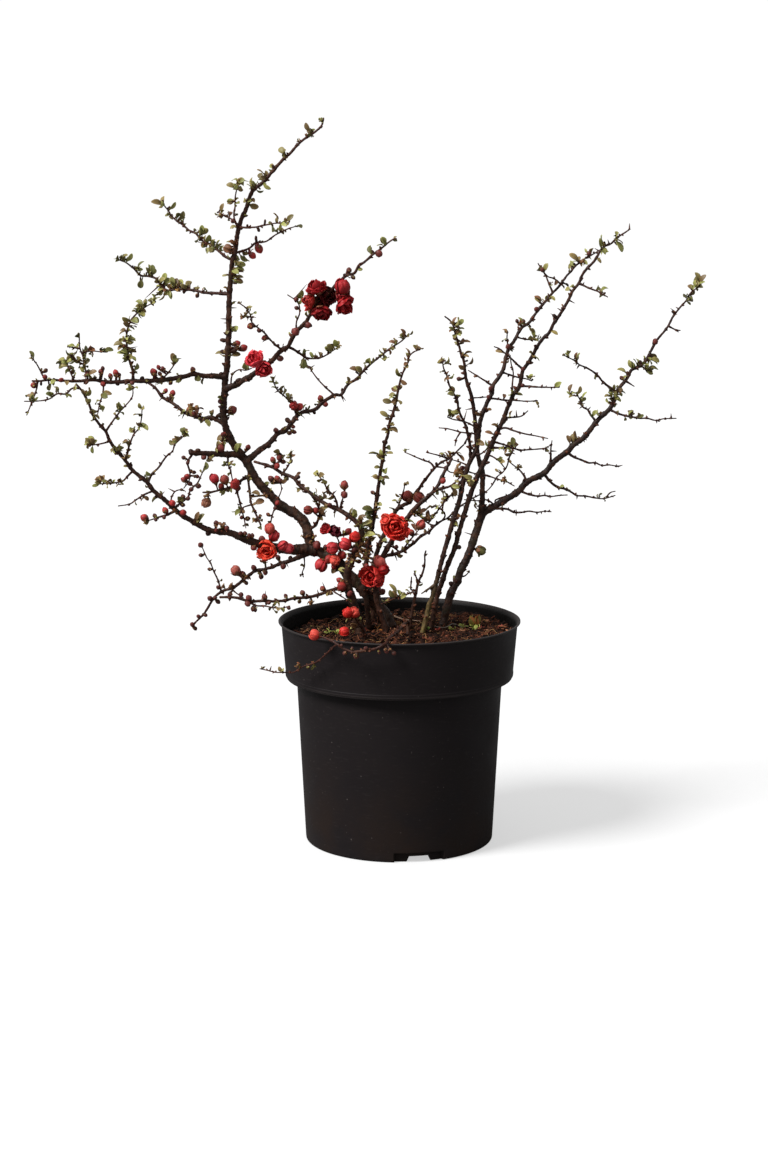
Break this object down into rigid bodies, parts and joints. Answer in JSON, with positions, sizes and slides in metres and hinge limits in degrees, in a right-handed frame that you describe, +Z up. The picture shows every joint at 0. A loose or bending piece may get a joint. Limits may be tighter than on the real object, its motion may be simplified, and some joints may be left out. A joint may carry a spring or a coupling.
{
  "type": "potted flowering quince shrub",
  "caption": "Flowering quince shrub in a black nursery pot of compost: thorny twigs with opening leaves, coral buds and double scarlet blossoms.",
  "frame": {"origin": "on the floor, under the middle of the bounding box of the whole shrub and pot", "axes": "+Z up; -Y is the side seen from the front, where the trailing bough hangs over the rim"},
  "size_m": [0.6348, 0.24, 0.6802],
  "materials": {
    "pot": "soft satin moulded black",
    "compost": "rough, fibrous and damp",
    "bark": "matt, with fine lenticels",
    "petals": "soft, velvety",
    "buds": "waxy",
    "leaves": "satin"
  },
  "bodies": {
    "root": {"nursery_pot": "pot", "compost": "compost", "leader_stem": "bark", "upper_left_bough": "bark", "high_left_bough": "bark", "left_arm": "bark", "second_arm": "bark", "blossom_bough": "bark", "right_mid_bough": "bark", "stubby_bough": "bark", "inner_twig": "bark", "bud_spur_bough": "bark", "lower_left_bough": "bark", "fork_stem": "bark", "leafy_spur": "bark", "centre_stem": "bark", "back_stem": "bark", "front_stem": "bark", "right_low_bough": "bark", "greenwood_cane": "bark", "slender_cane": "bark", "forward_cane": "bark", "right_bough": "bark", "tall_cane": "bark", "low_left_bough": "bark", "rim_bough": "bark", "trailing_bough": "bark", "dead_twig": "bark", "pot_shoot": "bark", "centre_blossom": "petals", "left_blossom": "petals", "side_blossom": "petals", "upright_blossom": "petals", "arm_blossom": "petals", "bough_blossom": "petals", "dark_blossom": "petals", "low_blossom": "petals", "tucked_blossom": "petals", "pot_blossom": "petals", "bud_trunk_low": "buds", "bud_trunk_mid": "buds", "bud_trunk_high": "buds", "bud_fork_left": "buds", "bud_fork_front": "buds", "bud_fork_spire": "buds", "bud_spur_outer": "buds", "bud_spur_inner": "buds", "bud_spur_drooping": "buds", "bud_back_left": "buds", "bud_back_right": "buds", "bud_low_left": "buds", "bud_mid_bough": "buds", "bud_right_low": "buds", "bud_over_rim": "buds", "bud_in_pot": "buds", "bud_cane_ball": "buds", "bud_leafy_spur": "buds", "leaf_tuft_right": "leaves", "leaf_tuft_left": "leaves", "leaf_tuft_top": "leaves"}
  },
  "joints": []
}
